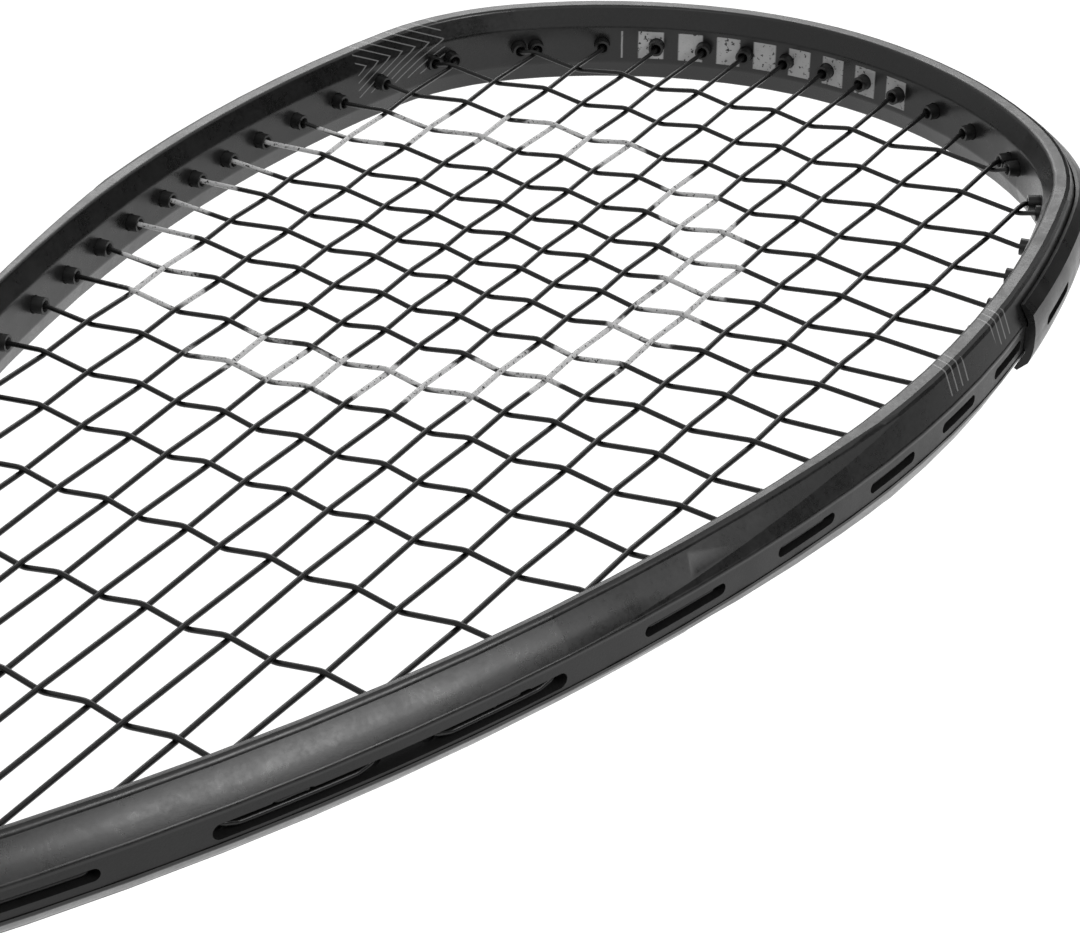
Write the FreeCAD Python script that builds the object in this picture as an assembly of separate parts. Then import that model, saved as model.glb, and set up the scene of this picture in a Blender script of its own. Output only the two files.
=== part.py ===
import FreeCAD, Part
import math
import os

os.makedirs("parts", exist_ok=True)
V = FreeCAD.Vector
UP = V(0, 0, 1)

# ---- frame of reference: butt end at y = 0, tip at +Y, +Z out of the string bed ----
LENGTH = 686.0          # butt end to the outside of the bumper
# rail section: r runs outward from the inner wall, z runs across the beam
TUBE_W = 8.6            # radial width of a rail
BEAM = 19.4             # beam height of a rail
WALL = 0.9              # carbon wall
BUMPER_T = 2.0          # bumper over the outer face of the rail
# inner outline: tangent arcs from the tip, clockwise on the +X side (radius, degrees)
TIP_ARCS = [(87.6, 13.9), (103.7, 29.5), (56.5, 33.6), (302.8, 22.6)]
INNER_LEN = 367.25      # inner opening, tip to throat
APEX_R = 15.0           # inner radius of the throat
LEG_STRAIGHT = 12.8     # straight run of an arm below the throat radius
LEG_R = 36.0            # bend that turns an arm into the shaft
LEG_X = 0.8             # inner face of an arm where it has become the shaft
TAPER_S = 300.0         # from here to the shaft the outer edges of a rail are cut away more
TAPER_R = 580.0         # radius of the cut that leads into it
# groove round the outside of the hoop, and the grommet pieces in it
GROOVE_HZ = 2.85
GROOVE_DEPTH = 3.6
FIT = 0.1               # clearance between pieces that are pressed or bonded together
SEAT = 0.25             # clearance under the curved grommet pieces and round their barrels
STRIP_SINK = 0.2        # outer face of the grommet strips below the outer wall
BARREL_WALL = 1.05
HOLE_ROOM = 0.15        # hole in the rail over a barrel, on the radius
COLLAR = 2.6            # how far a barrel stands out of the inner wall
COLLAR_SHORT = 1.2
MOUTH_GAP = 0.5         # from the end of a collar to the bend of the string
BORE_PITCH = 7.0        # least distance between two bores
STEP_DEPTH = 0.45       # depth of the round step where a bore opens into its slot
STRIP_END_GAP = 0.4     # between the ends of neighbouring grommet pieces
# strings
STRING_D = 1.10
STRING_SINK = 1.6       # centre of a string in the groove below the outer wall
PASS_GAP = 0.15         # between two strings that pass each other
BORE_ROOM = 0.5         # bore over string, on the diameter
SLOT_ROOM = 0.65        # slot over string, on each side
SLOT_ROOM_WIDE = 0.35
FLOOR_ROOM = 0.25       # under a string that lies in a slot
BEND_R = 1.5            # bend from a bore into the groove
MOUTH_R = 1.8           # bend from the bed into a bore
WEAVE_MAIN = 0.30       # height of a main above or below the bed at a crossing
WEAVE_SLOPE = 0.32      # steepest rise of a cross out of its bore
WEAVE_BEND = 5.0
TIE_RUN = 6.0           # tied ends: length along the groove, sideways shift, knot over the string
TIE_Z = 0.25
KNOT_OVER = 0.1
KNOT_ROOM = 0.25
# mains: centre distance at the first cross, and what it gains per 100 mm toward the tip
MAINS = [(5.29, 0.367), (15.64, 0.646), (25.56, 1.296), (36.45, 1.65),
         (48.29, 2.543), (61.71, 3.448), (76.13, 4.411)]
FIRST_CROSS = 29.85     # from the inner tip wall down to the first cross
CROSS_GAPS = [17.39, 16.66, 14.44, 14.36, 13.12, 12.21, 11.99, 11.52, 13.04,
              12.71, 13.40, 13.66, 16.10, 16.72, 19.73, 23.21, 26.74]
# handle
CAP_WALL = 3.0
CAP_LEN = 24.0
PALLET_END = 202.8
SHAFT_FIT = 0.15        # clearance between the shaft and what slides over it
PALLET_X = 5.25         # wall of the pallets beside the shaft
PALLET_Z = 2.15         # wall of the pallets over the shaft
GRIP_T = 1.8
TAPE_T = 0.35
COLLAR_Y0 = 197.0
COLLAR_Y1 = 217.0
STAPLE_T = 0.8

inner_tip = LENGTH - BUMPER_T - TUBE_W
apex_y = inner_tip - INNER_LEN
half_beam = BEAM / 2
groove_r = TUBE_W - GROOVE_DEPTH
face_r = TUBE_W - STRIP_SINK
run_r = TUBE_W - STRING_SINK
floor_r = run_r - STRING_D / 2 - FLOOR_ROOM
step_r = floor_r - STEP_DEPTH
bore_d = STRING_D + BORE_ROOM
barrel_d = bore_d + 2 * BARREL_WALL
pass_z = STRING_D + PASS_GAP      # sideways shift, or height, between two strings that pass
knot_r = STRING_D / 2 + KNOT_OVER
shaft_x = LEG_X + TUBE_W
handle_x = shaft_x + SHAFT_FIT + PALLET_X
handle_z = half_beam + SHAFT_FIT + PALLET_Z


# ---- the side path: arcs and lines along the inner wall, +X side, starting at the tip ----
def normal(a):
    return V(math.sin(a), math.cos(a), 0)


def heading(a):
    return V(math.cos(a), -math.sin(a), 0)


def arc_piece(p, a, radius, sweep, s):
    # a negative radius bends the other way: its centre is on the outer side
    centre = p - normal(a) * radius
    return {"p": p, "a": a, "R": radius, "c": centre, "s0": s, "s1": s + abs(radius) * sweep,
            "sweep": sweep}


def build_path():
    pieces = []
    p = V(0, inner_tip, 0)
    a = 0.0
    s = 0.0
    for radius, deg in TIP_ARCS:
        piece = arc_piece(p, a, radius, math.radians(deg), s)
        pieces.append(piece)
        a += piece["sweep"]
        p = piece["c"] + normal(a) * radius
        s = piece["s1"]
    # last arc of the side: the one that meets the throat circle in a tangent
    apex_c = V(0, apex_y + APEX_R, 0)
    d = p - apex_c
    n = normal(a)
    radius = (d.dot(d) - APEX_R ** 2) / (2 * (n.dot(d) - APEX_R))
    centre = p - n * radius
    u = apex_c - centre
    end_a = math.atan2(u.x, u.y)
    piece = arc_piece(p, a, radius, end_a - a, s)
    pieces.append(piece)
    a = end_a
    p = centre + normal(a) * radius
    s = piece["s1"]
    throat = {"p": p, "a": a, "c": apex_c, "R": APEX_R, "sweep": math.pi - a}
    # arm: straight, then bent back until it points along the shaft
    pieces.append({"p": p, "a": a, "R": None, "s0": s, "s1": s + LEG_STRAIGHT})
    p = p + heading(a) * LEG_STRAIGHT
    s += LEG_STRAIGHT
    pieces.append(arc_piece(p, a, -LEG_R, a - math.pi / 2, s))
    return pieces, throat


PATH, THROAT = build_path()
ARM_TOP_S = PATH[-2]["s0"]
ARM_LOW_S = PATH[-2]["s1"]


def at(s, r=0.0, z=0.0):
    for piece in PATH:
        if s <= piece["s1"] + 1e-9:
            break
    u = s - piece["s0"]
    if piece["R"] is None:
        a = piece["a"]
        p = piece["p"] + heading(a) * u
    elif piece["R"] > 0:
        a = piece["a"] + u / piece["R"]
        p = piece["c"] + normal(a) * piece["R"]
    else:
        a = piece["a"] - u / -piece["R"]
        p = piece["c"] + normal(a) * piece["R"]
    return p + normal(a) * r + UP * z, normal(a), heading(a)


def profile_face(p, n, profile):
    # profile: first point, then points (lines) or pairs of points (arc through, arc end)
    def point(q):
        return p + n * q[0] + UP * q[1]
    edges = []
    last = profile[0]
    for item in profile[1:] + [profile[0]]:
        if isinstance(item[0], tuple):
            edges.append(Part.Arc(point(last), point(item[0]), point(item[1])).toShape())
            last = item[1]
        elif item != last:
            edges.append(Part.LineSegment(point(last), point(item)).toShape())
            last = item
    return Part.Face(Part.Wire(edges))


def fuse_all(shapes):
    out = shapes[0]
    if len(shapes) > 1:
        out = out.multiFuse(shapes[1:])
        out = out.removeSplitter()
    return out


def band(s0, s1, profile):
    out = []
    for piece in PATH:
        lo = max(s0, piece["s0"])
        hi = min(s1, piece["s1"])
        if hi - lo < 1e-6:
            continue
        if piece["R"] is None:
            n = normal(piece["a"])
            start = piece["p"] + heading(piece["a"]) * (lo - piece["s0"])
            out.append(profile_face(start, n, profile).extrude(heading(piece["a"]) * (hi - lo)))
            continue
        radius = piece["R"]
        turn = (lo - piece["s0"]) / abs(radius)
        a = piece["a"] + turn * (1 if radius > 0 else -1)
        start = piece["c"] + normal(a) * radius
        sweep = math.degrees((hi - lo) / abs(radius)) * (-1 if radius > 0 else 1)
        out.append(profile_face(start, normal(a), profile).revolve(piece["c"], UP, sweep))
    return fuse_all(out)


def both(shape):
    return [shape, shape.mirror(V(0, 0, 0), V(1, 0, 0))]


def mirror_z(points):
    # closes a profile given for z >= 0 with its mirror image; arcs are kept as arcs
    out = list(points)
    flat = []
    last = points[0]
    for item in points[1:]:
        if isinstance(item[0], tuple):
            flat.append((last, item[0], item[1]))
            last = item[1]
        else:
            flat.append((last, None, item))
            last = item
    if last[1] > 1e-9:
        out.append((last[0], -last[1]))
    for start, mid, end in reversed(flat):
        if mid is None:
            out.append((start[0], -start[1]))
        else:
            out.append(((mid[0], -mid[1]), (start[0], -start[1])))
    closes = abs(points[0][1]) < 1e-9 and not isinstance(out[-1][0], tuple)
    return out[:-1] if closes else out


# ---- rail section ----
H = half_beam
W = TUBE_W
inner_side = [(0.0, 4.2), ((0.04, 4.8), (0.22, 5.3)), (1.65, H - 0.7), ((2.0, H - 0.2), (2.7, H))]
lip_top = (W - 0.3, GROOVE_HZ + 1.1)
outer_lip = [((W - 0.1, GROOVE_HZ + 0.85), (W, GROOVE_HZ + 0.5))]
rail = mirror_z(inner_side + [(4.6, H), (W - 3.15, H - 0.25), (W - 2.7, H - 0.9), lip_top] + outer_lip)
TOP_R = 3.0             # where the outer edge of a tapered rail leaves its flat top
low_edge = [(TOP_R, H), ((TOP_R + 0.6, H - 0.35), (TOP_R + 1.0, H - 0.95)),
            ((W - 2.23, 0.5 * (H + GROOVE_HZ) + 0.28), lip_top)]
rail_low = mirror_z(inner_side + low_edge + outer_lip)
taper = low_edge + [(W + 4, lip_top[1]), (W + 4, H + 4), (TOP_R, H + 4)]
core_z = GROOVE_HZ + WALL
core_r = groove_r - WALL
cavity = mirror_z([(WALL, 4.0), (WALL + 1.6, H - 1.2), (3.1, H - WALL - 0.1), (3.6, H - 1.7),
                   (W - 1.75, core_z), (core_r, core_z), (core_r, 0.0)][:-1])
groove = [(groove_r, -GROOVE_HZ), (W + 3, -GROOVE_HZ), (W + 3, GROOVE_HZ), (groove_r, GROOVE_HZ)]


# ---- string layout ----
first_cross_y = inner_tip - FIRST_CROSS
cross_y = [first_cross_y]
for gap in CROSS_GAPS:
    cross_y.append(cross_y[-1] - gap)


def main_x(i, y):
    # i = 1 ... 14, from -X to +X
    k = 7 - i if i <= 7 else i - 8
    x = MAINS[k][0] + MAINS[k][1] * (y - first_cross_y) / 100
    return -x if i <= 7 else x


def path_s(test, lo, hi):
    # where the signed test changes sign along the inner wall
    a = test(lo)
    for _ in range(60):
        mid = (lo + hi) / 2
        if (test(mid) > 0) == (a > 0):
            lo = mid
        else:
            hi = mid
    return (lo + hi) / 2


# a string that passes close in front of a bore leaves room only for a short collar
short = ("c2+", "c2-", "c16+", "c16-", "l1", "l14")


def collar(name):
    return COLLAR_SHORT if name in short else COLLAR


def mouth(name):
    return collar(name) + MOUTH_GAP


# every bore: s of its axis on the inner wall, side of the racket
bores = {}
wide = path_s(lambda s: at(s)[2].x, 20.0, ARM_TOP_S)
for j, y in enumerate(cross_y):
    name = "c%d" % (j + 1)
    s = path_s(lambda q: at(q, -mouth(name + "+"))[0].y - y, 20.0, ARM_TOP_S)
    bores[name + "+"] = {"s": s, "side": 1}
    bores[name + "-"] = {"s": s, "side": -1}
for k in range(7):
    for end, lo, hi in (("t", 0.0, wide), ("l", wide, ARM_LOW_S)):
        name = "%s%d" % (end, 8 + k)

        def off_line(q):
            p = at(q, -mouth(name))[0]
            return p.x - main_x(8 + k, p.y)
        if name == "l8":
            s = ARM_LOW_S - 1.9
        else:
            s = path_s(off_line, lo, hi)
        if name == "l14":
            s = max(s, bores["c16+"]["s"] + BORE_PITCH)
        bores[name] = {"s": s, "side": 1}
        bores["%s%d" % (end, 7 - k)] = {"s": s, "side": -1}


def flip(p, side):
    return p if side > 0 else V(-p.x, p.y, p.z)


# the two innermost mains go down through the throat on a slant
slant_out = at(bores["l8"]["s"], run_r)[0]
slant_in = V(6.0, apex_y + 2.0, 0)
for _ in range(20):
    slant_dir = slant_out - slant_in
    slant_dir.normalize()
    x = main_x(8, apex_y) + slant_dir.x * mouth("l8")
    slant_in = V(x, apex_y + APEX_R - math.sqrt(APEX_R ** 2 - x ** 2), 0)


def bore_line(name):
    # inner wall point and outward direction of a bore, on its own side
    b = bores[name]
    if name in ("l7", "l8"):
        p = slant_in
        n = slant_dir
    else:
        p, n, _ = at(b["s"])
    return flip(p, b["side"]), flip(n, b["side"])


slant_extra = (slant_out - slant_in).Length - run_r


def barrel(name, radius0, r0, radius1, r1):
    # cylinder or cone along a bore; r is counted from the wall it passes
    p, n = bore_line(name)
    if name in ("l7", "l8"):
        r0 += slant_extra if r0 > 1 else 0
        r1 += slant_extra if r1 > 1 else 0
    if radius0 == radius1:
        return Part.makeCylinder(radius0, r1 - r0, p + n * r0, n)
    return Part.makeCone(radius0, radius1, r1 - r0, p + n * r0, n)


# ---- string runs in the groove ----
# (bore, bore, sideways shift); the shift keeps crossing runs apart
main_runs = []
for i in range(1, 14):
    end = "t" if i % 2 else "l"
    shift = 0.0
    if (end == "t" and i in (1, 13)) or (end == "l" and i == 2):
        shift = pass_z
    if end == "l" and i == 12:
        shift = -pass_z
    main_runs.append(("%s%d" % (end, i), "%s%d" % (end, i + 1), shift))
cross_runs = []
for j in range(1, 18):
    side = "-" if j % 2 else "+"
    shift = -pass_z if (side == "-" and j in (1, 17)) or (side == "+" and j == 16) else 0.0
    cross_runs.append(("c%d%s" % (j, side), "c%d%s" % (j + 1, side), shift))
# the four tied ends: bore, direction along the path, sideways shift
ties = [("l1", 1, TIE_Z), ("l14", 1, TIE_Z), ("c1+", 1, -TIE_Z), ("c18+", -1, TIE_Z)]


def run_points(name_a, name_b, shift):
    # corner points of one run between two bores; over the tip it may change side
    a = bores[name_a]
    b = bores[name_b]
    sa = a["s"] * a["side"]
    sb = b["s"] * b["side"]
    step = 1 if sb > sa else -1
    count = max(3, int(round(abs(sb - sa) / 6.0)))
    inner = []
    for q in range(1, count):
        inner.append(sa + (sb - sa) * q / count)
    ramp = 3.6
    if shift:
        inner = [s for s in inner if abs(s - sa) > ramp + 2 and abs(s - sb) > ramp + 2]
        inner = [sa + step * ramp] + inner + [sb - step * ramp]
    out = [flip(at(a["s"], run_r)[0], a["side"])]
    for s in inner:
        side = 1 if s > 0 else -1
        out.append(flip(at(abs(s), run_r, shift)[0], side))
    out.append(flip(at(b["s"], run_r)[0], b["side"]))
    return out


def bed_point(name):
    # bend point in front of a collar
    p, n = bore_line(name)
    return p - n * mouth(name)


def filleted(points):
    # points: (position, bend radius); straight runs joined by tangent arcs
    edges = []
    last = points[0][0]
    for k in range(1, len(points) - 1):
        p, radius = points[k]
        u = points[k - 1][0] - p
        v = points[k + 1][0] - p
        room = min(u.Length, v.Length) * 0.49
        u.normalize()
        v.normalize()
        dot = max(-1.0, min(1.0, u.dot(v)))
        half = math.acos(dot) / 2
        if math.pi / 2 - half < 0.002:
            continue
        t = radius / math.tan(half)
        if t > room:
            t = room
            radius = t * math.tan(half)
        a = p + u * t
        b = p + v * t
        m = u + v
        m.normalize()
        mid = p + m * (radius / math.sin(half) - radius)
        if (a - last).Length > 1e-6:
            edges.append(Part.LineSegment(last, a).toShape())
        edges.append(Part.Arc(a, mid, b).toShape())
        last = b
    edges.append(Part.LineSegment(last, points[-1][0]).toShape())
    return Part.Wire(edges)


SEAM_TURN = 50          # where the seam of the swept surface lies, in degrees


def cord(points):
    wire = filleted(points)
    first = points[0][0]
    axis = points[1][0] - first
    ring = Part.Wire([Part.makeCircle(STRING_D / 2, first, axis)])
    ring.rotate(first, axis, SEAM_TURN)
    return wire.makePipeShell([ring], True, False)


def crossing(i, j):
    # point of main i where it meets cross j, and the two heights; None outside the hoop
    y = cross_y[j - 1]
    x = main_x(i, y)
    room = abs(bed_point("c%d+" % j).x) - abs(x)
    if room < 0.6:
        return None
    way = 1 if (i + j) % 2 == 0 else -1
    low = min(pass_z - WEAVE_MAIN, WEAVE_SLOPE * room)
    return V(x, y, way * (pass_z - low)), V(x, y, -way * low)


def main_pass(i):
    # crossings of one main from the tip down
    found = [crossing(i, j) for j in range(1, 19)]
    return [(pair[0], WEAVE_BEND) for pair in found if pair]


def cross_pass(j):
    # crossings of one cross from -X to +X
    found = [crossing(i, j) for i in range(1, 15)]
    return [(pair[1], WEAVE_BEND) for pair in found if pair]


def tie_points(name, way, shift):
    b = bores[name]
    s = b["s"]
    corner = flip(at(s, run_r)[0], b["side"])
    ramp = flip(at(s + way * 3.6, run_r, shift)[0], b["side"])
    end = flip(at(s + way * TIE_RUN, run_r, shift)[0], b["side"])
    return corner, ramp, end


def string_solid(passes, runs, start_tie, end_tie):
    # passes: (bore in, crossings, bore out) in order; runs join them along the groove
    pts = []
    corner, ramp, end = tie_points(*start_tie)
    pts += [(end, 1.0), (ramp, 2.0), (corner, BEND_R)]
    for k, (name_a, crossings, name_b) in enumerate(passes):
        pts.append((bed_point(name_a), MOUTH_R))
        pts += crossings
        pts.append((bed_point(name_b), MOUTH_R))
        if k < len(runs):
            line = run_points(*runs[k])
            pts.append((line[0], BEND_R))
            for p in line[1:-1]:
                pts.append((p, 4.0))
            pts.append((line[-1], BEND_R))
    corner, ramp, end = tie_points(*end_tie)
    pts += [(corner, BEND_R), (ramp, 2.0), (end, 1.0)]
    body = cord(pts)
    knots = [Part.makeSphere(knot_r, pts[0][0]), Part.makeSphere(knot_r, pts[-1][0])]
    for knot in knots:
        body = body.fuse(knot)
    return body


main_passes = []
for i in range(1, 15):
    crossings = main_pass(i)
    if i % 2:
        main_passes.append(("l%d" % i, list(reversed(crossings)), "t%d" % i))
    else:
        main_passes.append(("t%d" % i, crossings, "l%d" % i))
cross_passes = []
for j in range(1, 19):
    crossings = cross_pass(j)
    if j % 2:
        cross_passes.append(("c%d+" % j, list(reversed(crossings)), "c%d-" % j))
    else:
        cross_passes.append(("c%d-" % j, crossings, "c%d+" % j))

main_string = string_solid(main_passes, main_runs, ties[0], ties[1])
cross_string = string_solid(cross_passes, cross_runs, ties[2], ties[3])

# ---- frame ----
apex_turn = math.degrees(THROAT["sweep"])
hoop_side = band(0, TAPER_S, rail)
taper_p, taper_n = at(TAPER_S)[:2]
taper_face = profile_face(taper_p, taper_n, taper)
lead_in = taper_face.revolve(taper_p - taper_n * TAPER_R, UP, 15)
hoop_side = hoop_side.cut([lead_in, lead_in.mirror(V(0, 0, 0), UP)])
ring_side = fuse_all([hoop_side, band(TAPER_S, PATH[-1]["s1"], rail_low)])
apex_start = profile_face(THROAT["p"], normal(THROAT["a"]), rail_low)
apex_side = apex_start.revolve(THROAT["c"], UP, -apex_turn)
shaft_top = at(PATH[-1]["s1"])[0].y
FLAT_R = (2.7 + TOP_R) / 2      # line on the flat top of a rail
leg = PATH[-1]
p0 = at(leg["s1"], FLAT_R)[0]
p1 = at((leg["s0"] + leg["s1"]) / 2, FLAT_R)[0]
p2 = at(leg["s0"], FLAT_R)[0]
p3 = at(ARM_TOP_S, FLAT_R)[0]
a = (THROAT["a"] + math.pi) / 2
p4 = THROAT["c"] + normal(a) * (APEX_R + FLAT_R)
p5 = THROAT["c"] + V(0, -APEX_R - FLAT_R, 0)


def left(p):
    return V(-p.x, p.y, p.z)


web_edges = [Part.LineSegment(left(p0), p0), Part.Arc(p0, p1, p2), Part.LineSegment(p2, p3),
             Part.Arc(p3, p5, left(p3)), Part.LineSegment(left(p3), left(p2)),
             Part.Arc(left(p2), left(p1), left(p0))]
web_face = Part.Face(Part.Wire([e.toShape() for e in web_edges]))
web = web_face.extrude(UP * BEAM)
web.translate(UP * -half_beam)

SHAFT_END = CAP_WALL + 1.0
shaft_side = profile_face(V(LEG_X, shaft_top, 0), V(1, 0, 0), rail_low)
shaft_rail = shaft_side.extrude(V(0, SHAFT_END - shaft_top, 0))
shaft_mid = Part.makeBox(2 * (LEG_X + FLAT_R), shaft_top - SHAFT_END, BEAM,
                         V(-LEG_X - FLAT_R, SHAFT_END, -half_beam))
solids = both(ring_side) + both(apex_side) + [web] + both(shaft_rail) + [shaft_mid]
frame = fuse_all(solids)

hoop_void = band(0, bores["l10"]["s"] - 4.0, cavity)
void_x = LEG_X + W - WALL * 1.4
void_pts = [(-void_x, 3.2), (-void_x + 4.8, H - 1.3), (void_x - 4.8, H - 1.3), (void_x, 3.2),
            (void_x, -3.2), (void_x - 4.8, 1.3 - H), (-void_x + 4.8, 1.3 - H), (-void_x, -3.2)]
void_wire = Part.makePolygon([V(x, SHAFT_END - 1, z) for x, z in void_pts + void_pts[:1]])
shaft_void = Part.Face(void_wire).extrude(V(0, shaft_top - 14.0 - SHAFT_END, 0))
channel = band(0, ARM_LOW_S, groove)
hole_r = barrel_d / 2 + HOLE_ROOM
holes = [barrel(name, hole_r, -0.8, hole_r, groove_r + 0.5) for name in bores]
frame = frame.cut(both(hoop_void) + [shaft_void] + both(channel))
frame = frame.cut(holes)

# ---- grommet pieces ----
BUMPER_S = bores["c6+"]["s"] - 3.6
strip_z = GROOVE_HZ - FIT
strip_r = groove_r + SEAT
strip_bar = [(strip_r, -strip_z), (face_r, -strip_z), (face_r, strip_z), (strip_r, strip_z)]
out_r = W + SEAT
bumper_bar = mirror_z([(strip_r, 0.0), (strip_r, strip_z), (out_r, strip_z),
                       (out_r, GROOVE_HZ + 0.75), (out_r - 0.35, GROOVE_HZ + 1.6),
                       (W - 1.75, H - 2.3), (W - 1.05, H - 2.0),
                       (W + BUMPER_T * 0.55, 5.6),
                       ((W + BUMPER_T * 0.9, 3.2), (W + BUMPER_T, 0.0))])


def slot_band(s0, s1, z0, z1):
    rect = [(floor_r, z0), (W + 4, z0), (W + 4, z1), (floor_r, z1)]
    return band(s0, s1, rect)


SLOT_HZ = STRING_D / 2 + SLOT_ROOM


def slot_span(shift):
    # lowest and highest z of a slot whose run is shifted sideways
    hz = STRING_D / 2 + (SLOT_ROOM_WIDE if shift else SLOT_ROOM)
    return min(0.0, shift) - hz, max(0.0, shift) + hz


def slot(name_a, name_b, shift):
    a = bores[name_a]
    b = bores[name_b]
    z0, z1 = slot_span(shift)
    if a["side"] == b["side"]:
        lo, hi = sorted((a["s"], b["s"]))
        cut = slot_band(lo, hi, z0, z1)
        cuts = [cut if a["side"] > 0 else cut.mirror(V(0, 0, 0), V(1, 0, 0))]
    else:
        cuts = [slot_band(0, a["s"], z0, z1),
                slot_band(0, b["s"], z0, z1).mirror(V(0, 0, 0), V(1, 0, 0))]
    return cuts + slot_ends(shift, name_a, name_b)


def slot_ends(shift, *names):
    z0, z1 = slot_span(shift)
    ends = []
    for name in names:
        end = barrel(name, (z1 - z0) / 2, step_r, (z1 - z0) / 2, W + 4)
        end.translate(UP * ((z0 + z1) / 2))
        ends.append(end)
        if name in ("l7", "l8"):
            p, n, _ = at(bores[name]["s"], step_r)
            side = bores[name]["side"]
            ends.append(Part.makeCylinder(SLOT_HZ, 6, flip(p, side), flip(n, side)))
    return ends


slots = []
joined = [("c17+", "l13", -pass_z)]      # no string here, but the two slots beside it run together
for name_a, name_b, shift in main_runs + cross_runs + joined:
    slots += slot(name_a, name_b, shift)
for name, way, shift in ties:
    b = bores[name]
    corner, ramp, end = tie_points(name, way, shift)
    lo, hi = sorted((b["s"], b["s"] + way * TIE_RUN))
    cut = slot_band(lo, hi, -SLOT_HZ, SLOT_HZ)
    slots.append(cut if b["side"] > 0 else cut.mirror(V(0, 0, 0), V(1, 0, 0)))
    slots += slot_ends(0.0, name)
    out = flip(at(b["s"] + way * TIE_RUN)[1], b["side"])
    foot = end - out * (run_r - step_r)
    slots.append(Part.makeCylinder(SLOT_HZ, 5, V(foot.x, foot.y, 0), out))


def grommets(bar, names):
    outer = [barrel(n, barrel_d / 2, -collar(n), barrel_d / 2, strip_r + 0.3) for n in names]
    body = fuse_all(bar + outer) if len(bar) == 1 else fuse_all([fuse_all(bar)] + outer)
    box = body.BoundBox
    cuts = []
    for n in names:
        cuts.append(barrel(n, bore_d / 2, -collar(n) - 1, bore_d / 2, floor_r + 1))
        flare = bore_d / 2 + 0.6
        cuts.append(barrel(n, flare, -collar(n) - 0.2, bore_d / 2 - 0.1, -collar(n) + 1.2))
    for cut in slots:
        if box.intersect(cut.BoundBox):
            body = body.cut(cut)
    body = body.cut(cuts)
    return max(body.Solids, key=lambda solid: solid.Volume)


def in_range(side, s0, s1):
    return [n for n, b in bores.items() if b["side"] == side and s0 < b["s"] < s1]


THROAT_S = (bores["l9"]["s"] + bores["l10"]["s"]) / 2
cap_bar = band(0, BUMPER_S, bumper_bar)
bumper_names = in_range(1, 0, BUMPER_S) + in_range(-1, 0, BUMPER_S)
bumper = grommets(both(cap_bar), bumper_names)
half_gap = STRIP_END_GAP / 2
side_bar = band(BUMPER_S + STRIP_END_GAP, THROAT_S - half_gap, strip_bar)
low_bar = band(THROAT_S + half_gap, ARM_LOW_S - FIT, strip_bar)
pieces = {"bumper_guard": bumper}
for word, side, index in (("right", 1, 0), ("left", -1, 1)):
    names = in_range(side, BUMPER_S, THROAT_S)
    pieces["grommet_strip_" + word] = grommets([both(side_bar)[index]], names)
    names = in_range(side, THROAT_S, 1e6)
    pieces["throat_grommet_" + word] = grommets([both(low_bar)[index]], names)
pieces["frame"] = frame
pieces["main_string"] = main_string
pieces["cross_string"] = cross_string


# ---- handle ----
def octagon(hx, hz, cut_x, cut_z, y):
    pts = [(hx, hz - cut_z), (hx - cut_x, hz), (cut_x - hx, hz), (-hx, hz - cut_z),
           (-hx, cut_z - hz), (cut_x - hx, -hz), (hx - cut_x, -hz), (hx, cut_z - hz)]
    return Part.makePolygon([V(x, y, z) for x, z in pts + pts[:1]])


def prism(wire, y0, y1):
    body = Part.Face(wire).extrude(V(0, y1 - y0, 0))
    body.translate(V(0, y0, 0))
    return body


def grown(wire, amount):
    return wire.makeOffset2D(amount)


BEVEL = 5.3
bare = octagon(handle_x, handle_z, BEVEL, BEVEL, 0)
pocket = octagon(shaft_x + SHAFT_FIT, H + SHAFT_FIT, 5.0, 5.2, 0)
block = prism(bare, CAP_WALL + FIT, PALLET_END).cut(prism(pocket, 0, PALLET_END + 1))
far_cut = Part.makeBox(80, PALLET_END + 10, 40, V(-40, -5, -40 + FIT / 2))
upper = block.cut(far_cut)
lower = block.cut(far_cut.mirror(V(0, 0, 0), UP))

cap_x = handle_x + FIT + 1.7
cap_z = handle_z + FIT + 1.7
cap_rings = [(0.0, 0.7), (0.5, 1.5), (2.5, 2.2), (6.0, 2.1), (12.0, 1.1), (18.0, 0.4), (CAP_LEN, 0.0)]
cap_wires = [octagon(cap_x + g, cap_z + g, 6.2, 6.2, y) for y, g in cap_rings]
cap = Part.makeLoft(cap_wires, True, True)
cap = cap.cut(prism(grown(bare, FIT), CAP_WALL, CAP_LEN + 1))

# a staple through each side of the cap: crown in the cap, one leg in each pallet half
STAPLE_Y = 14.0
STAPLE_W = 6.4
STAPLE_IN = 4.5


def staple(grow):
    t = STAPLE_T / 2 + grow
    top = cap_x + 0.55 + grow
    foot = handle_x - STAPLE_IN - grow
    half = STAPLE_W / 2
    crown = Part.makeBox(STAPLE_T + 2 * grow, 2 * t, STAPLE_W + 2 * grow,
                         V(top - STAPLE_T - 2 * grow, STAPLE_Y - t, -half - grow))
    legs = [Part.makeBox(top - foot, 2 * t, 2 * t, V(foot, STAPLE_Y - t, z - t))
            for z in (STAPLE_T / 2 - half, half - STAPLE_T / 2)]
    return crown.multiFuse(legs).removeSplitter()


room = both(staple(FIT / 2))
open_top = Part.makeBox(6, STAPLE_T + FIT, STAPLE_W + FIT,
                        V(cap_x, STAPLE_Y - (STAPLE_T + FIT) / 2, -(STAPLE_W + FIT) / 2))
cap = cap.cut(room + both(open_top))
upper = upper.cut(room)
lower = lower.cut(room)

plug_pts = [(x * 0.985, z * 0.985) for x, z in void_pts]
plug_wire = Part.makePolygon([V(x, 0, z) for x, z in plug_pts + plug_pts[:1]])
plug = prism(plug_wire, SHAFT_END + FIT, SHAFT_END + 18)

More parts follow.
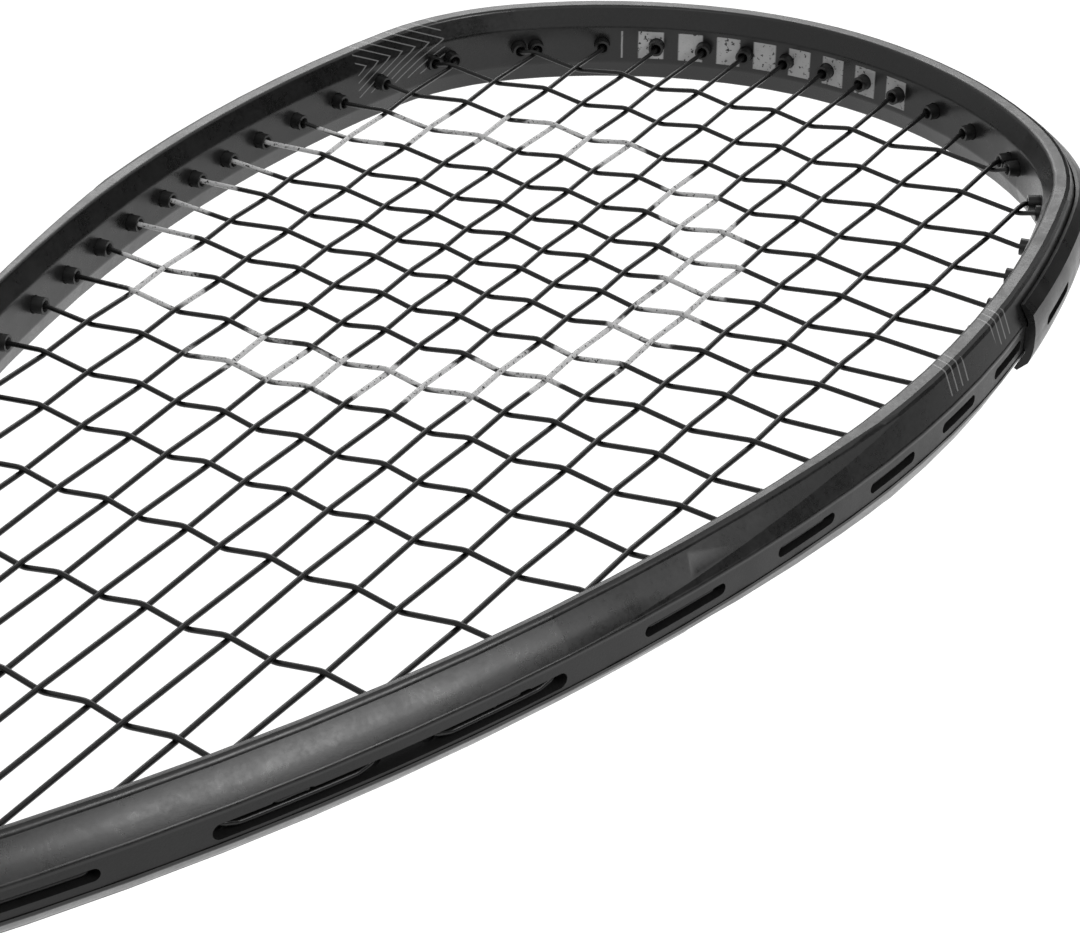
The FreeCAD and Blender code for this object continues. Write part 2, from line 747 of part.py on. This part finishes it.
GRIP_END = PALLET_END
grip = prism(grown(bare, FIT + GRIP_T), CAP_LEN + FIT, GRIP_END)
grip = grip.cut(prism(grown(bare, FIT), 0, GRIP_END + 1))
tape_in = FIT + GRIP_T + 0.05
tape = prism(grown(bare, tape_in + TAPE_T), COLLAR_Y0 - 7.0, GRIP_END - 0.8)
tape = tape.cut(prism(grown(bare, tape_in), 0, GRIP_END + 1))
sleeve_in = tape_in + TAPE_T + 0.05
sleeve_x = handle_x + sleeve_in + 1.3
sleeve_z = handle_z + sleeve_in + 1.3
sleeve_rings = [octagon(sleeve_x - 0.5, sleeve_z - 0.5, 6.4, 6.4, COLLAR_Y0),
                octagon(sleeve_x, sleeve_z, 6.4, 6.4, COLLAR_Y0 + 1.0),
                octagon(sleeve_x, sleeve_z, 6.4, 6.4, GRIP_END + 1.5),
                octagon(shaft_x + 1.9, H + 1.9, 5.4, 5.8, COLLAR_Y1 - 1.2),
                octagon(shaft_x + 1.3, H + 1.3, 5.2, 5.6, COLLAR_Y1)]
sleeve = Part.makeLoft(sleeve_rings, True, True)
sleeve = sleeve.cut(prism(grown(bare, sleeve_in), 0, GRIP_END + FIT))
sleeve = sleeve.cut(prism(pocket, 0, COLLAR_Y1 + 1))

pieces["handle_pallet_upper"] = upper
pieces["handle_pallet_lower"] = lower
pieces["shaft_end_plug"] = plug
pieces["butt_cap"] = cap
pieces["butt_cap_staples"] = Part.makeCompound(both(staple(0.0)))
pieces["grip_wrap"] = grip
pieces["finishing_tape"] = tape
pieces["rubber_collar"] = sleeve

for name, shape in pieces.items():
    shape.exportStep("parts/%s.step" % name)
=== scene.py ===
import math

import bmesh
import bpy
from mathutils import Matrix, Vector, noise


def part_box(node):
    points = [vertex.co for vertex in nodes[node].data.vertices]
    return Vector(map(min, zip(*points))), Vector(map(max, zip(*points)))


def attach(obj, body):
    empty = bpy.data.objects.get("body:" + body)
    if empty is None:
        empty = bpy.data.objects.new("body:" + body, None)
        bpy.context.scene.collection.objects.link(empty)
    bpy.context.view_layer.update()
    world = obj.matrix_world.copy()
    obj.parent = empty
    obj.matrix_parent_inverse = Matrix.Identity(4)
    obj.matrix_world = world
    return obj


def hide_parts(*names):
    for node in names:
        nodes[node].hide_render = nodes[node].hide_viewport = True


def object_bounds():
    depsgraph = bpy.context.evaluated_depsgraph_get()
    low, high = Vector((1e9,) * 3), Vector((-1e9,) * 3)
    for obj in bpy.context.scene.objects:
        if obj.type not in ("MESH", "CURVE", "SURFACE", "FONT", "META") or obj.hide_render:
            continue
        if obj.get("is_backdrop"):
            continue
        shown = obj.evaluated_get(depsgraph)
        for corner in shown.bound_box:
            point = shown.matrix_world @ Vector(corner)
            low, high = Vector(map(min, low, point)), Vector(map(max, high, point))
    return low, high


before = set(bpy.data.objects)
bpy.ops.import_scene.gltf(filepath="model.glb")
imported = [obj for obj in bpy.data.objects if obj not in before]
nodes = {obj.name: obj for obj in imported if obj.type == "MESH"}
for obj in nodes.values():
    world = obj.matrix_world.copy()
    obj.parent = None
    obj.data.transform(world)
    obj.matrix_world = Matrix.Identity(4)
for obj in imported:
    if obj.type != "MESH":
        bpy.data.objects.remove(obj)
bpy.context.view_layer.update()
MM = 0.001


# ---- node helpers ----
class Shade:
    """A material whose nodes are made by short calls; sockets given as values are set, others linked."""

    def __init__(self, name):
        self.mat = bpy.data.materials.new(name)
        self.mat.use_nodes = True
        self.tree = self.mat.node_tree
        self.tree.nodes.clear()
        self.out = self.tree.nodes.new("ShaderNodeOutputMaterial")

    def node(self, kind, props=None, **sockets):
        n = self.tree.nodes.new("ShaderNode" + kind)
        for key, value in (props or {}).items():
            setattr(n, key, value)
        for key, value in sockets.items():
            self.put(n.inputs[key.replace("_", " ")], value)
        return n

    def put(self, socket, value):
        if isinstance(value, bpy.types.NodeSocket):
            self.tree.links.new(value, socket)
        else:
            socket.default_value = value

    def coords(self):
        return self.node("TexCoord").outputs["Object"]

    def math(self, op, a, b=0.0, c=0.0, clamp=False):
        n = self.node("Math", {"operation": op, "use_clamp": clamp})
        for socket, value in zip(n.inputs, (a, b, c)):
            self.put(socket, value)
        return n.outputs[0]

    def add(self, *values):
        total = values[0]
        for v in values[1:]:
            total = self.math("ADD", total, v)
        return total

    def mul(self, *values):
        total = values[0]
        for v in values[1:]:
            total = self.math("MULTIPLY", total, v)
        return total

    def ramp(self, value, lo, hi, out_lo=0.0, out_hi=1.0):
        n = self.node("MapRange", {"interpolation_type": "SMOOTHSTEP"}, Value=value,
                      From_Min=lo, From_Max=hi, To_Min=out_lo, To_Max=out_hi)
        return n.outputs[0]

    def noise(self, scale, detail=3.0, rough=0.55, vector=None, stretch=None):
        vec = vector or self.coords()
        if stretch:
            vec = self.node("Mapping", Vector=vec, Scale=stretch).outputs[0]
        n = self.node("TexNoise", Vector=vec, Scale=scale, Detail=detail, Roughness=rough)
        return n.outputs[0]

    def mix(self, factor, a, b):
        n = self.node("Mix", {"data_type": "RGBA"})
        self.put(n.inputs[0], factor)
        self.put(n.inputs[6], a)
        self.put(n.inputs[7], b)
        return n.outputs[2]

    def bump(self, height, distance, strength=1.0, normal=None):
        n = self.node("Bump", Height=height, Distance=distance, Strength=strength)
        if normal is not None:
            self.put(n.inputs["Normal"], normal)
        return n.outputs[0]

    def finish(self, **sockets):
        p = self.node("BsdfPrincipled", **sockets)
        self.tree.links.new(p.outputs[0], self.out.inputs[0])
        return self.mat


def grey(v, warm=0.0):
    return (v + warm, v, v - warm * 0.5, 1.0)


def moulded(name, dark, light, rough, grain, depth, specular=0.4, extra=None):
    """Moulded or lacquered plastic: cloudy colour, fine grain in the bump, uneven gloss."""
    s = Shade(name)
    cloud = s.noise(35.0, 4.0)
    fine = s.noise(grain, 2.0)
    color = s.mix(s.ramp(s.add(s.mul(cloud, 0.6), s.mul(fine, 0.4)), 0.35, 0.65), dark, light)
    roughness = s.ramp(s.add(s.mul(s.noise(140.0, 3.0), 0.6), s.mul(fine, 0.4)), 0.3, 0.7,
                       rough - 0.05, rough + 0.06)
    height = fine
    if extra:
        color, roughness, height = extra(s, color, roughness, height)
    return s.finish(Base_Color=color, Roughness=roughness, Normal=s.bump(height, depth),
                    Specular_IOR_Level=specular)


def position(s):
    parts = s.node("SeparateXYZ", Vector=s.coords())
    return parts.outputs[0], parts.outputs[1], parts.outputs[2]


def facing_tip(s):
    """How far the surface faces the tip: 1 toward it, -1 toward the handle."""
    return s.node("SeparateXYZ", Vector=s.node("NewGeometry").outputs["True Normal"]).outputs[1]


def between(s, value, lo, hi, edge):
    """1 where value lies between lo and hi, falling to 0 over the edge width."""
    return s.mul(s.ramp(value, lo - edge, lo + edge), s.ramp(value, hi - edge, hi + edge, 1.0, 0.0))


def stripes(s, value, pitch, share, edge=0.15):
    """Repeating bars along value; share is the painted part of each pitch."""
    wave = s.math("PINGPONG", value, pitch / 2)
    return s.ramp(wave, pitch * 0.5 * (share - edge), pitch * 0.5 * (share + edge), 1.0, 0.0)


PAINT = grey(0.42)
SILVER = grey(0.16)
BAR_PITCH = 0.0093
BAR_SPAN = (-0.046, 0.03)           # along x, on the inner wall at the tip
HATCH_PITCH = 0.0032
HATCH_SPAN = (0.605, 0.632)         # along y, on the -X rail
LINE_PITCH = 0.0024
LINE_SPANS = [(0.5365, 0.5445), (0.5585, 0.5665)]   # along y, on the +X rail
RING_CENTRE = (0.027, -0.546)       # taken off x, y of the string bed
RING_RADII = (0.052, 0.067)


def rail_marks(s, color, roughness, height):
    """Plain generic marks of the hoop: tip bars, hatching on one shoulder, thin lines on the other."""
    x, y, z = position(s)
    inner = s.mul(between(s, z, -0.0036, 0.0036, 0.0001), s.ramp(facing_tip(s), -0.45, -0.55))
    bars = s.mul(stripes(s, s.math("ABSOLUTE", s.add(x, 0.0021)), BAR_PITCH, 0.62, 0.05),
                 between(s, x, *BAR_SPAN, 0.0002))
    bars = s.mul(bars, inner, s.ramp(y, 0.652, 0.653))
    worn = s.ramp(s.noise(900.0, 4.0), 0.34, 0.42)
    color = s.mix(s.mul(bars, worn), color, PAINT)
    slant = s.add(s.mul(y, 0.8), s.mul(s.math("ABSOLUTE", s.add(z, -0.0055)), 1.6))
    hatch = s.mul(stripes(s, slant, HATCH_PITCH, 0.16, 0.05), between(s, y, *HATCH_SPAN, 0.0002),
                  s.ramp(x, -0.070, -0.0705))
    hatch = s.mul(hatch, s.ramp(z, -0.002, -0.0018))
    color = s.mix(hatch, color, SILVER)
    groups = [between(s, y, *span, 0.0001) for span in LINE_SPANS]
    lines = s.mul(s.math("MAXIMUM", *groups), stripes(s, s.add(y, s.mul(x, 0.35)), LINE_PITCH, 0.18, 0.05),
                  s.ramp(x, 0.085, 0.0855), s.ramp(z, 0.005, 0.0052))
    color = s.mix(lines, color, SILVER)
    return color, roughness, height


def scuffed(s, color, roughness, height):
    """Guard at the tip: long fine scuffs round the hoop."""
    scratch = s.noise(60.0, 5.0, stretch=(1.0, 1.0, 14.0))
    color = s.mix(s.ramp(scratch, 0.62, 0.72, 0.0, 0.5), color, grey(0.03))
    roughness = s.add(roughness, s.ramp(scratch, 0.55, 0.7, 0.0, 0.1))
    return color, roughness, s.add(s.mul(height, 0.6), s.mul(scratch, 0.4))


def stencil(s, color, roughness, height):
    """Multifilament sheen of a string, with a plain painted ring on the bed."""
    x, y, z = position(s)
    dx = s.add(x, RING_CENTRE[0])
    dy = s.add(y, RING_CENTRE[1])
    far = s.math("SQRT", s.add(s.mul(dx, dx), s.mul(dy, dy)))
    ragged = s.add(far, s.mul(s.add(s.noise(260.0, 3.0), -0.5), 0.006))
    ring = between(s, ragged, *RING_RADII, 0.0006)
    gap = s.ramp(s.math("ABSOLUTE", s.add(dx, s.mul(dy, -0.4))), 0.008, 0.010)
    above = s.ramp(z, -0.0007, -0.0001)
    worn = s.ramp(s.noise(1500.0, 3.0), 0.33, 0.45)
    color = s.mix(s.mul(ring, gap, above, worn), color, grey(0.55))
    wound = s.noise(1400.0, 2.0, stretch=(1.0, 1.0, 1.0))
    return color, roughness, s.add(s.mul(height, 0.5), s.mul(wound, 0.5))


GRIP_PITCH = 0.022


def wrapped(s, color, roughness, height):
    """Cushioned strip: perforations in rows along the turn; painted shade darkens the perforations and the
    seam.
    """
    x, y, z = position(s)
    angle = s.mul(s.math("ARCTAN2", z, x), 1 / (2 * math.pi))
    turn = s.math("FRACT", s.add(s.mul(y, 1 / GRIP_PITCH), s.mul(angle, -1.0), 20.0))
    row = s.math("SINE", s.mul(turn, 2 * math.pi * 7))
    dot = s.math("SINE", s.mul(s.add(angle, s.mul(turn, 0.02)), 2 * math.pi * 36))
    hole = s.ramp(s.mul(row, dot), 0.62, 0.8)
    seam = s.ramp(s.math("ABSOLUTE", s.add(turn, -0.5)), 0.44, 0.49)
    # painted shade: the perforations and the seam between turns are coloured near-black where shade would
    # fall in them
    color = s.mix(s.math("MAXIMUM", hole, seam), color, grey(0.004))
    height = s.add(s.mul(height, 0.25), s.mul(hole, -1.0))
    return color, s.add(roughness, s.mul(hole, 0.1)), height


def brushed(s, color, roughness, height):
    """Drawn wire: long streaks."""
    streak = s.noise(500.0, 3.0, stretch=(1.0, 0.05, 1.0))
    return s.mix(streak, color, grey(0.3)), s.add(roughness, s.mul(streak, 0.08)), s.add(height, streak)


carbon = moulded("satin_carbon", grey(0.006), grey(0.011), 0.30, 1100.0, 0.000008, 0.42, rail_marks)
bumper = moulded("bumper_nylon", grey(0.007), grey(0.012), 0.31, 1900.0, 0.00002, 0.34, scuffed)
strip = moulded("strip_nylon", grey(0.008), grey(0.013), 0.40, 2200.0, 0.00002, 0.30)
foam = moulded("handle_foam", grey(0.2), grey(0.28), 0.8, 1200.0, 0.0001)
plug = moulded("plug_foam", grey(0.25), grey(0.35), 0.9, 900.0, 0.0002)
cap = moulded("cap_plastic", grey(0.012), grey(0.02), 0.4, 1600.0, 0.00003)
steel = moulded("staple_wire", grey(0.5), grey(0.62), 0.30, 3000.0, 0.00001, 0.7, brushed)
tape = moulded("vinyl_tape", grey(0.009), grey(0.015), 0.30, 1500.0, 0.00002)
rubber = moulded("soft_rubber", grey(0.014), grey(0.022), 0.6, 1300.0, 0.00004)
grip_skin = moulded("grip_skin", grey(0.018), grey(0.03), 0.55, 1500.0, 0.00012, 0.35, wrapped)
string = moulded("string_black", grey(0.004), grey(0.008), 0.3, 3000.0, 0.00001, 0.3, stencil)

finish_of = {
    "frame": carbon, "bumper_guard": bumper, "grommet_strip_left": strip,
    "grommet_strip_right": strip, "throat_grommet_left": strip, "throat_grommet_right": strip,
    "main_string": string, "cross_string": string, "handle_pallet_upper": foam,
    "handle_pallet_lower": foam, "shaft_end_plug": plug, "butt_cap": cap,
    "butt_cap_staples": steel, "grip_wrap": grip_skin, "finishing_tape": tape,
    "rubber_collar": rubber,
}
for name, material in finish_of.items():
    mesh = nodes[name].data
    mesh.materials.clear()
    mesh.materials.append(material)

# ---- the wrapped grip ----
lo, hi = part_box("grip_wrap")
GRIP_Y0, GRIP_Y1 = lo.y + 0.0001, hi.y - 0.0001
CORE_X, CORE_Z, CORE_BEVEL = 14.8 * MM, 12.0 * MM, 5.3 * MM
ROUND = 1.5 * MM


def grip_outline():
    """Points on the handle's octagon shrunk by ROUND, each with its outward direction."""
    ring = [(CORE_X, CORE_Z - CORE_BEVEL), (CORE_X - CORE_BEVEL, CORE_Z)]
    ring += [(-x, z) for x, z in reversed(ring)]
    ring += [(-x, -z) for x, z in ring]
    count = len(ring)
    normals = []
    for k in range(count):
        (x0, z0), (x1, z1) = ring[k], ring[(k + 1) % count]
        size = math.hypot(x1 - x0, z1 - z0)
        normals.append(((z1 - z0) / size, (x0 - x1) / size))
    shrunk = []
    for k in range(count):
        n0, n1 = normals[k - 1], normals[k]
        share = ROUND / (1 + n0[0] * n1[0] + n0[1] * n1[1])
        shrunk.append((ring[k][0] - (n0[0] + n1[0]) * share, ring[k][1] - (n0[1] + n1[1]) * share))
    points = []
    for k in range(count):
        n0, n1 = normals[k - 1], normals[k]
        for j in range(6):
            t = j / 5
            mx, mz = n0[0] * (1 - t) + n1[0] * t, n0[1] * (1 - t) + n1[1] * t
            size = math.hypot(mx, mz)
            points.append((shrunk[k], (mx / size, mz / size)))
        p, q = shrunk[k], shrunk[(k + 1) % count]
        for j in range(1, 8):
            t = j / 8
            points.append(((p[0] * (1 - t) + q[0] * t, p[1] * (1 - t) + q[1] * t), n1))
    return points


def grip_height(x, z, y):
    """How far the skin stands off the foam handle: a cushioned ridge between the seams."""
    turn = y / GRIP_PITCH - math.atan2(z, x) / (2 * math.pi) + 20.0
    away = 0.5 - abs(turn % 1.0 - 0.5)
    side = turn % 1.0 < 0.5
    width = 0.10 if side else 0.045
    t = min(1.0, away / width)
    swell = t * t * (3 - 2 * t)
    soft = noise.noise(Vector((x * 60, y * 60, z * 60))) * 0.04
    end = min(1.0, (y - GRIP_Y0) / 0.002, (GRIP_Y1 - y) / 0.002)
    end = math.sqrt(max(0.0, 1 - (1 - end) ** 2))
    return MM * (0.5 + end * (0.35 + 0.93 * swell + soft))


outline = grip_outline()
size = len(outline)
rows = int(round((GRIP_Y1 - GRIP_Y0) / 0.0007))
verts = []
for k in range(rows + 1):
    y = GRIP_Y0 + (GRIP_Y1 - GRIP_Y0) * k / rows
    for (px, pz), (nx, nz) in outline:
        h = ROUND + grip_height(px + nx * ROUND, pz + nz * ROUND, y)
        verts.append((px + nx * h, y, pz + nz * h))
for y in (GRIP_Y1, GRIP_Y0):
    for (px, pz), (nx, nz) in outline:
        h = ROUND + 0.15 * MM
        verts.append((px + nx * h, y, pz + nz * h))
faces = []
for k in range(rows + 2):
    for j in range(size):
        a0, a1 = k * size + j, k * size + (j + 1) % size
        faces.append((a0, a1, a1 + size, a0 + size))
last = (rows + 2) * size
for j in range(size):
    a0, a1 = last + j, last + (j + 1) % size
    faces.append((a0, a1, (j + 1) % size, j))
grip_mesh = bpy.data.meshes.new("grip_strip")
grip_mesh.from_pydata(verts, [], faces)
work = bmesh.new()
work.from_mesh(grip_mesh)
bmesh.ops.recalc_face_normals(work, faces=work.faces)
work.to_mesh(grip_mesh)
work.free()
grip_mesh.polygons.foreach_set("use_smooth", [True] * len(grip_mesh.polygons))
grip_mesh.materials.append(grip_skin)
grip = bpy.data.objects.new("grip_strip", grip_mesh)
bpy.context.scene.collection.objects.link(grip)
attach(grip, "root")
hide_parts("grip_wrap")

# ---- camera ----
camera = bpy.data.objects.new("camera", bpy.data.cameras.new("camera"))
bpy.context.scene.collection.objects.link(camera)
right = Vector((0.8574, 0.5147, 0.0024)).normalized()
back = Vector((0.4347, -0.7266, 0.5321)).normalized()
right = (right - back * right.dot(back)).normalized()
up = back.cross(right)
turn = Matrix((right, up, back)).transposed().to_4x4()
camera.matrix_world = Matrix.Translation((0.25534, 0.11992, 0.26406)) @ turn
camera.data.sensor_width = 36.0
camera.data.lens = 87.86
camera.data.clip_start = 0.01
camera.data.clip_end = 100.0
bpy.context.scene.camera = camera

# ---- floor, world and lamps ----
FLOOR_Z = -0.6
FLOOR_R = 30.0


def strength_by_ray(tree, scattered, seen):
    """One strength for light that only scatters, another for rays that see the backdrop itself."""
    path = tree.nodes.new("ShaderNodeLightPath")
    found = path.outputs["Is Camera Ray"]
    for ray in ("Is Glossy Ray", "Is Transmission Ray"):
        largest = tree.nodes.new("ShaderNodeMath")
        largest.operation = "MAXIMUM"
        tree.links.new(found, largest.inputs[0])
        tree.links.new(path.outputs[ray], largest.inputs[1])
        found = largest.outputs[0]
    strength = tree.nodes.new("ShaderNodeMapRange")
    strength.inputs["To Min"].default_value = scattered
    strength.inputs["To Max"].default_value = seen
    tree.links.new(found, strength.inputs["Value"])
    return strength.outputs[0]


floor_mesh = bpy.data.meshes.new("floor")
corners = [(-FLOOR_R, -FLOOR_R), (FLOOR_R, -FLOOR_R), (FLOOR_R, FLOOR_R), (-FLOOR_R, FLOOR_R)]
floor_mesh.from_pydata([(x, y, FLOOR_Z) for x, y in corners], [], [(0, 1, 2, 3)])
floor = bpy.data.objects.new("floor", floor_mesh)
bpy.context.scene.collection.objects.link(floor)
s = Shade("floor_white")
diffuse = s.node("BsdfDiffuse", Color=s.mix(s.noise(3.0), grey(0.78), grey(0.82)))
glow = s.node("Emission", Color=grey(1.0), Strength=strength_by_ray(s.tree, 0.0, 0.5))
both = s.node("AddShader")
s.tree.links.new(diffuse.outputs[0], both.inputs[0])
s.tree.links.new(glow.outputs[0], both.inputs[1])
s.tree.links.new(both.outputs[0], s.out.inputs[0])
floor_mesh.materials.append(s.mat)
floor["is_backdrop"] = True

world = bpy.data.worlds.new("world")
bpy.context.scene.world = world
world.use_nodes = True
tree = world.node_tree
tree.nodes.clear()
world_out = tree.nodes.new("ShaderNodeOutputWorld")
sky = tree.nodes.new("ShaderNodeBackground")
tree.links.new(strength_by_ray(tree, 0.5, 1.0), sky.inputs["Strength"])
tree.links.new(sky.outputs[0], world_out.inputs[0])


def area(name, place, target, size, size_y, watts):
    data = bpy.data.lights.new(name, "AREA")
    data.shape = "RECTANGLE"
    data.size = size
    data.size_y = size_y
    data.energy = watts
    lamp = bpy.data.objects.new(name, data)
    bpy.context.scene.collection.objects.link(lamp)
    lamp.location = place
    lamp.rotation_euler = (Vector(target) - Vector(place)).to_track_quat("-Z", "Y").to_euler()
    return lamp


def dark_card(name, start, end, low, high, radius):
    """A dark card standing round the object that only the reflections see."""
    steps = 32
    verts = []
    for k in range(steps + 1):
        a = math.radians(start + (end - start) * k / steps)
        x, y = radius * math.cos(a), 0.4 + radius * math.sin(a)
        verts += [(x, y, low), (x, y, high)]
    faces = [(2 * k, 2 * k + 2, 2 * k + 3, 2 * k + 1) for k in range(steps)]
    mesh = bpy.data.meshes.new(name)
    mesh.from_pydata(verts, [], faces)
    s = Shade(name)
    s.finish(Base_Color=s.mix(s.noise(4.0), grey(0.004), grey(0.008)), Roughness=1.0,
             Specular_IOR_Level=0.0)
    mesh.materials.append(s.mat)
    card = bpy.data.objects.new(name, mesh)
    bpy.context.scene.collection.objects.link(card)
    card.visible_camera = False
    card.visible_shadow = False
    card.visible_diffuse = False
    card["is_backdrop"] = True


dark_card("dark_card", -25.0, 115.0, -0.05, 1.35, 3.0)
area("back_light", (-1.2, 2.4, 1.3), (0.0, 0.5, 0.0), 1.6, 0.8, 17.0)
area("side_box", (1.9, 0.5, 1.6), (0.0, 0.45, 0.0), 1.1, 0.7, 26.0)
area("top_fill", (0.3, -0.8, 1.9), (0.0, 0.45, 0.0), 1.2, 1.0, 4.0)

bpy.context.scene.view_settings.view_transform = "Standard"
lo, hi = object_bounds()
